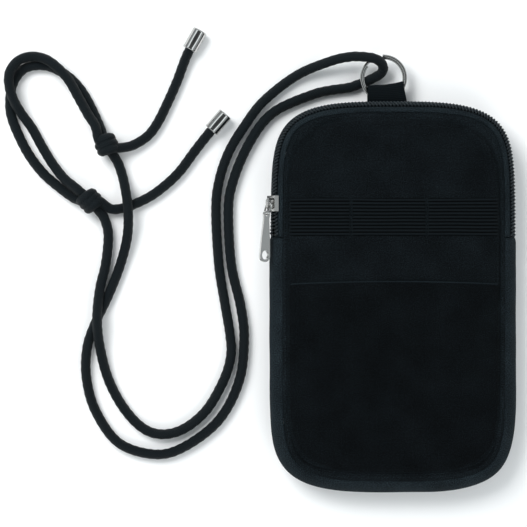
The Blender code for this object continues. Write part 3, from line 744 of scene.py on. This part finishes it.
def elastic_height(x, y):
    """Ribbed elastic: pulled down at the ends and at each sewn line, lifted between them."""
    middle, half = (ELASTIC_TOP + ELASTIC_BOTTOM) / 2, (ELASTIC_TOP - ELASTIC_BOTTOM) / 2
    rib = abs(math.sin(math.pi * (y - ELASTIC_BOTTOM) / ELASTIC_RIB_PITCH))
    sewn = max(math.exp(-((x - s) / (1.3 * MM)) ** 2) for s in ELASTIC_STITCHES)
    ends = min(1.0, (51.3 * MM - abs(x)) / (3 * MM))
    lifted = 0.75 * MM * (1 - 0.75 * sewn) * max(0.25, ends)
    edge = 1 - abs((y - middle) / half) ** 8 * 0.25
    return front_height(x, y) + 0.45 * MM + lifted * edge + 0.5 * MM * rib * (1 - 0.5 * sewn)


def make_elastic(looks):
    places, uvs = [], []
    for y in np.linspace(ELASTIC_BOTTOM, ELASTIC_TOP, 90):
        half = half_width_at(y, SEAM_INSET + BORDER) + 0.3 * MM
        xs = np.linspace(-half, half, 150)
        wobble = [0.25 * MM * ripple((x, y, 0), 22 * MM, 6.0) for x in xs]
        places.append([(x, y + w, elastic_height(x, y)) for x, w in zip(xs, wobble)])
        uvs.append([(x, y) for x in xs])
    made = surface("elastic_cloth", places, uvs, looks["elastic"])
    made.data.flip_normals()
    made = thicken(made, 0.7 * MM)
    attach(made, "pouch")
    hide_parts("elastic_band")
    for s in ELASTIC_STITCHES:
        for shift in (-0.55, 0.55):
            line = [(s + shift * MM, y, elastic_height(s, y) + 0.1 * MM)
                    for y in np.linspace(ELASTIC_BOTTOM + 1 * MM, ELASTIC_TOP - 1 * MM, 40)]
            row = stitches("elastic_stitches", line, looks["thread"], 1.5 * MM, 1.1 * MM)
            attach(row, "pouch")


# ---------------------------------------------------------------- side wall and zip


def wall_point(point, normal, angle, depth, rise=0.0):
    """A point of the side wall at an angle from the back seam, rise metres out from it."""
    out = Vector((WALL_HALF_HEIGHT * math.sin(angle), -depth * math.cos(angle))).normalized()
    inset = SEAM_INSET - depth * math.sin(angle) - rise * out.x
    height = WALL_MIDDLE - WALL_HALF_HEIGHT * math.cos(angle) + rise * out.y
    flat = point - inset * normal
    return (flat[0], flat[1], height)


def strip(name, run, start, end, depth, finish, steps, pucker=0.18 * MM, lift=0.0, rolled=0.0):
    """A strip of the side wall between two angles from the back seam."""
    points, normals, along = run
    angles = np.linspace(start, end, steps + 1)
    arc = math.hypot(depth, WALL_HALF_HEIGHT) / math.sqrt(2)
    places, uvs = [], []
    for point, normal, distance in zip(points, normals, along):
        row = []
        for a in angles:
            near_seam = math.exp(-abs(math.sin(a)) / 0.35)
            seed = (distance, a * 0.01, 0)
            rise = lift + pucker * (near_seam * ripple(seed, 5 * MM, 4.0)
                                    + 0.9 * ripple(seed, 19 * MM, 9.0) * abs(math.sin(a)))
            rise -= rolled * math.exp(-min(distance, along[-1] - distance) / (0.9 * MM))
            row.append(wall_point(point, normal, a, depth, rise))
        places.append(row)
        uvs.append([(distance, a * arc) for a in angles])
    return surface(name, places, uvs, finish)


def make_gusset(looks):
    seam = math.radians(3)
    run = under_the_bottom(ZIP_END_Y + 0.3 * MM, 0.9 * MM)
    made = strip("lower_gusset", run, seam, math.pi - seam, SEAM_INSET, looks["side"], 30,
                 pucker=0.34 * MM, lift=0.1 * MM, rolled=0.9 * MM)
    made = thicken(made, 0.8 * MM)
    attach(made, "pouch")
    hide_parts("gusset")


def zip_spread(x, y):
    """How far each coil stands off the closed line.

    On the left it parts round the slider's post, and gapes unevenly in the open stretch below.
    """
    if x > 0:
        return 0.0
    parted = min(1.0, max(0.0, (PARTED_TOP - y) / (1.6 * MM)))
    share = min(1.0, max(0.0, (OPEN_ZIP_TOP - y) / (OPEN_ZIP_TOP - ZIP_END_Y)))
    gape = 0.65 * MM * math.sin(math.pi * share * 0.62) * (1 + 0.3 * math.sin(share * 11))
    return 0.7 * MM * parted + gape


def make_zip(looks):
    seam = math.radians(3)
    arc_scale = math.hypot(ZIP_DEPTH * math.cos(CHAIN_ANGLE), WALL_HALF_HEIGHT * math.sin(CHAIN_ANGLE))
    run = over_the_top(ZIP_END_Y + 0.1 * MM, 1.5 * MM)
    cloth_gap, tape_gap = 2.0 * MM / arc_scale, 0.5 * MM / arc_scale

    def part(name, start, end, finish, steps, nodes, blended, lift=0.0):
        made = strip(name, run, start, end, ZIP_DEPTH + 0.25 * MM, finish, steps, 0.12 * MM, lift)
        made = thicken(made, 0.55 * MM)
        if blended:
            fold_blend(made)
        else:
            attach(made, "pouch")
        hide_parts(*nodes)

    part("back_side_strip", seam, CHAIN_ANGLE - cloth_gap, looks["side"], 20, ["zip_tape_back"],
         False, 0.55 * MM)
    part("front_side_strip", CHAIN_ANGLE + cloth_gap, math.pi - seam, looks["side"], 8,
         ["zip_tape_front_top", "zip_tape_front_left", "zip_tape_front_right"], True,
         0.5 * MM)
    part("back_zip_tape", CHAIN_ANGLE - cloth_gap * 1.5, CHAIN_ANGLE - tape_gap, looks["tape"], 6, [],
         False, -0.05 * MM)
    part("front_zip_tape", CHAIN_ANGLE + tape_gap, CHAIN_ANGLE + cloth_gap * 1.5, looks["tape"], 6,
         [], True, -0.05 * MM)
    for name, side, nodes in (
        ("back_coil", -1, ["zip_coil_back"]),
        ("front_coil", 1, ["zip_coil_front_top", "zip_coil_front_left", "zip_coil_front_right"]),
    ):
        made = coil(name, side, looks["coil"])
        if side > 0:
            fold_blend(made)
        else:
            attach(made, "pouch")
        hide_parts(*nodes)


def chain_axes():
    sine, cosine = math.sin(CHAIN_ANGLE), math.cos(CHAIN_ANGLE)
    outward = Vector((WALL_HALF_HEIGHT * sine, -ZIP_DEPTH * cosine)).normalized()
    middle = (SEAM_INSET - ZIP_DEPTH * sine, WALL_MIDDLE - WALL_HALF_HEIGHT * cosine)
    return middle, outward, Vector((-outward.y, outward.x))


def chain_point(point, normal, frontward, outward):
    (distance, height), out, front = chain_axes()
    inset = distance - out.x * outward - front.x * frontward
    flat = point - inset * normal
    return (flat[0], flat[1], height + out.y * outward + front.y * frontward)


def coil(name, side, finish):
    """One half of a nylon coil zip: a flattened helix whose heads reach just past the middle."""
    pitch, per_turn = 1.7 * MM, 10
    half_width, half_height, wire_radius = 0.85 * MM, 0.62 * MM, 0.31 * MM
    points, normals, along = over_the_top(ZIP_END_Y + 0.6 * MM, pitch / per_turn)
    line = []
    for point, normal, distance in zip(points, normals, along):
        turn = 2 * math.pi * distance / pitch + (math.pi if side > 0 else 0)
        spread = zip_spread(*point)
        frontward = side * (0.74 * MM + spread) + half_width * math.cos(turn)
        outward = 0.98 * MM + half_height * math.sin(turn)
        line.append(chain_point(point, normal, frontward, outward))
    return tube_mesh(name, line, wire_radius, finish, sides=6)


# ---------------------------------------------------------------- slider and pull


def make_slider(looks):
    for node in ("slider_body", "pull_link", "pull_tab"):
        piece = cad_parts[node]
        piece.data.materials.clear()
        piece.data.materials.append(looks["nickel"])
        round_edges(piece, 0.22 * MM if node == "slider_body" else 0.12 * MM, 3, 40)


# ---------------------------------------------------------------- ring tab and split ring


def make_ring_tab(looks):
    """Webbing that leaves the side seam, runs round the ring and comes back below it."""
    middle, fold_radius = RING_CENTRE.z, 1.95
    loop = [(93.2, 0.75), (94.6, 1.0), (95.9, 1.75), (98, fold_radius)]
    loop += [(100.8 + fold_radius * math.cos(a), fold_radius * math.sin(a))
             for a in np.radians(np.linspace(90, -90, 13))]
    loop += [(98, -fold_radius), (95.9, -1.75), (94.6, -1.0), (93.2, -0.75)]
    line = smooth_route([(0, y * MM, middle + z * MM) for y, z in loop], 0.45 * MM)
    along = np.concatenate([[0], np.cumsum(np.linalg.norm(np.diff(line, axis=0), axis=1))])
    places, uvs = [], []
    for (_, y, z), distance in zip(line, along):
        out = max(0.0, (y - 94.6 * MM) / (8.2 * MM))
        row, row_uvs = [], []
        for share in np.linspace(0, 1, 41):
            x = -12.1 * MM + share * (19.3 - 2.2 * out) * MM
            raised = 2.1 * MM * (share**2.2) * out
            wave_y = 0.25 * MM * ripple((x, 0, z), 6 * MM, 2.0) * out
            row.append((x, y + raised + wave_y, z + 0.15 * MM * ripple((x, y, z), 6 * MM, 7.0)))
            row_uvs.append((x, distance))
        places.append(row)
        uvs.append(row_uvs)
    made = surface("webbing_tab", places, uvs, looks["webbing"])
    made = thicken(made, 0.9 * MM, 0)
    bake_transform(made)
    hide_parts("ring_tab")


def make_split_ring(looks):
    """Flattened steel wire wound twice, with two cut ends and the step between the turns."""
    jog, end_angle, spacing = math.radians(46), math.radians(118), 1.3 * MM
    rows, uvs = [], []
    corners = 20
    for a in np.linspace(jog * 0.55, 4 * math.pi - jog * 0.55, 230):
        step = min(1.0, max(0.0, (a - 2 * math.pi) / jog + 0.5))
        level = (step * step * (3 - 2 * step) - 0.5) * spacing
        radius = RING_RADIUS + 0.6 * level
        turn = a + end_angle
        along = Vector((math.cos(turn), math.sin(turn), 0))
        row = []
        for k in range(corners + 1):
            angle = 2 * math.pi * k / corners
            c, s = math.cos(angle), math.sin(angle)
            x = 0.72 * MM * math.copysign(abs(c) ** 0.8, c)
            z = 0.6 * MM * math.copysign(abs(s) ** 0.8, s)
            row.append(RING_CENTRE + along * (radius + x) + Vector((0, 0, level + z)))
        rows.append(row)
        uvs.append([(k / corners, a) for k in range(corners + 1)])
    made = surface("key_ring", rows, uvs, looks["chrome"])
    weld(made, 0.01 * MM)
    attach(made, "split_ring")
    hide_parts("split_ring")


# ---------------------------------------------------------------- the neck cord


def wraps(centre, axis, start, end):
    """A helix round a strand, in millimetres: angles are from straight up towards the right."""
    axis = np.array(axis, float) / np.linalg.norm(axis)
    right = np.cross(axis, (0, 0, 1.0))
    places = []
    angles = np.radians(np.arange(start, end + 1, 30))
    for a, s in zip(angles, np.linspace(WRAP_HALF_LENGTH, -WRAP_HALF_LENGTH, len(angles))):
        places.append(centre + axis * s
                      + WRAP_RADIUS * (math.cos(a) * np.array((0, 0, 1.0)) + math.sin(a) * right))
    return [tuple(p) for p in places]


def cord_routes():
    """The two halves of the cord, each from the middle of its bight in the ring to a metal end."""
    bight = ROUTES["cord_at_ring"]
    left_wraps = wraps(LEFT_KNOT, (-0.707, 0.707, 0), -110, 800)
    right_wraps = wraps(RIGHT_KNOT, (-0.423, 0.906, 0), -45, 800)
    inner = (bight[4::-1] + ROUTES["cord_inner_run"] + [tuple(LEFT_KNOT)]
             + ROUTES["cord_upper_loop"][::-1] + right_wraps + ROUTES["cord_right_tail"])
    outer = (bight[4:] + ROUTES["cord_outer_run"] + [tuple(RIGHT_KNOT)]
             + ROUTES["cord_lower_loop"] + left_wraps + ROUTES["cord_left_tail"])
    return {"neck_cord_inner": inner, "neck_cord_outer": outer}


def braid_shape(turn, distance):
    """The braid's lumps, as a share of the radius."""
    climb = 2 * math.pi * distance / (3.8 * MM)
    around = 2 * math.pi * turn * 4
    return 1 + 0.018 * (math.sin(around + climb) + math.sin(around - climb))


def make_cord(looks):
    ends = {"neck_cord_inner": ("right_cord_end", ["cord_inner_run", "cord_upper_loop",
                                                   "cord_right_tail", "right_knot"]),
            "neck_cord_outer": ("left_cord_end", ["cord_outer_run", "cord_lower_loop",
                                                  "cord_left_tail", "left_knot", "cord_at_ring"])}
    for name, route in cord_routes().items():
        line = smooth_route(np.array(route) * MM, 0.8 * MM)
        line[:, 2] = np.maximum(line[:, 2], CORD_DIAMETER / 2 + 0.06 * MM)
        cord = tube_mesh(name, line, CORD_DIAMETER / 2, looks["cord"], 16, braid_shape)
        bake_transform(cord)
        node, replaced = ends[name]
        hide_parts(*replaced)
        cap = make_cord_end(name + "_end", line, looks["chrome"], node)


def make_cord_end(name, line, finish, node):
    """A turned metal cup crimped over the cord's end."""
    profile = [(0, 10.6), (1.1, 10.6), (1.5, 10.8), (3.0, 10.95), (3.45, 10.8), (3.68, 10.4),
               (3.7, 9.9), (3.62, 9.6), (3.62, 1.3), (3.72, 1.0), (3.74, 0.5), (3.5, 0.1),
               (3.1, 0), (2.8, 0.15), (2.7, 0.6), (2.7, 3), (0, 3)]
    towards = Vector(line[-1] - line[-6]).normalized()
    mouth = Vector(line[-1]) - towards * 9.7 * MM
    turn = towards.to_track_quat("Z", "Y").to_matrix().to_4x4()
    place = Matrix.Translation(mouth) @ turn
    rows, uvs = [], []
    for k in range(49):
        a = 2 * math.pi * k / 48
        rows.append([place @ Vector((r * MM * math.cos(a), r * MM * math.sin(a), h * MM))
                     for r, h in profile])
        uvs.append([(a, h) for _, h in profile])
    made = surface(name, rows, uvs, finish)
    weld(made, 0.01 * MM)
    round_edges(made, 0.12 * MM, 2, 30)
    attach(made, "pouch")
    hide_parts(node)
    return made


# ---------------------------------------------------------------- the studio


def make_studio():
    """A white floor, a sky that is dark overhead with a bright ring round it, and two soft lights."""
    scene = bpy.context.scene
    scene.view_settings.view_transform = "Standard"
    world = bpy.data.worlds.new("studio_light")
    scene.world = world
    world.use_nodes = True
    tree = world.node_tree
    up = add(tree, "ShaderNodeSeparateXYZ", {0: add(tree, "ShaderNodeTexCoord").outputs["Generated"]})
    ramp = add(tree, "ShaderNodeValToRGB", {0: up.outputs[2]})
    stops = ((0.0, 0.22), (0.3, 0.25), (0.5, 0.28), (0.62, 0.35), (0.7, 0.9), (0.82, 1.0),
             (0.86, 0.1), (1.0, 0.04))
    while len(ramp.color_ramp.elements) < len(stops):
        ramp.color_ramp.elements.new(0.5)
    for element, (place, value) in zip(ramp.color_ramp.elements, stops):
        element.position = place
        element.color = (value * 0.93, value, value * 1.03, 1)
    tree.links.new(ramp.outputs[0], tree.nodes["Background"].inputs["Color"])
    tree.nodes["Background"].inputs["Strength"].default_value = 1.65
    bpy.ops.mesh.primitive_plane_add(size=6, location=(0, 0, -0.0002))
    floor = bpy.context.object
    floor.name = "floor"
    paint, tree, shader = node_material("white_paper")
    shader.inputs["Base Color"].default_value = (0.86, 0.86, 0.86, 1)
    shader.inputs["Roughness"].default_value = 0.9
    floor.data.materials.append(paint)

    def light(name, place, size, power):
        lamp = bpy.data.lights.new(name, "AREA")
        lamp.shape = "RECTANGLE"
        lamp.size, lamp.size_y = size
        lamp.energy = power
        made = bpy.data.objects.new(name, lamp)
        scene.collection.objects.link(made)
        made.location = place
        aim = Vector((-0.05, 0.01, 0)) - Vector(place)
        made.rotation_euler = aim.to_track_quat("-Z", "Y").to_euler()
        made.visible_glossy = False

    light("key", (-0.55, 0.55, 0.8), (0.6, 0.6), 11)
    light("fill", (0.35, -0.95, 0.75), (0.8, 0.5), 5)

    camera = bpy.data.cameras.new("camera")
    camera.lens = 120
    camera.sensor_width = 36
    made = bpy.data.objects.new("camera", camera)
    scene.collection.objects.link(made)
    made.location = (-0.063, 0.016, 0.257 * 120 / 36 + 0.010)
    scene.camera = made


def main():
    looks = make_materials()
    grid = square_grid(96)
    make_panels(looks, grid)
    make_slip_pocket(looks, grid)
    make_elastic(looks)
    make_gusset(looks)
    make_zip(looks)
    make_slider(looks)
    make_ring_tab(looks)
    make_split_ring(looks)
    make_cord(looks)
    make_studio()


main()
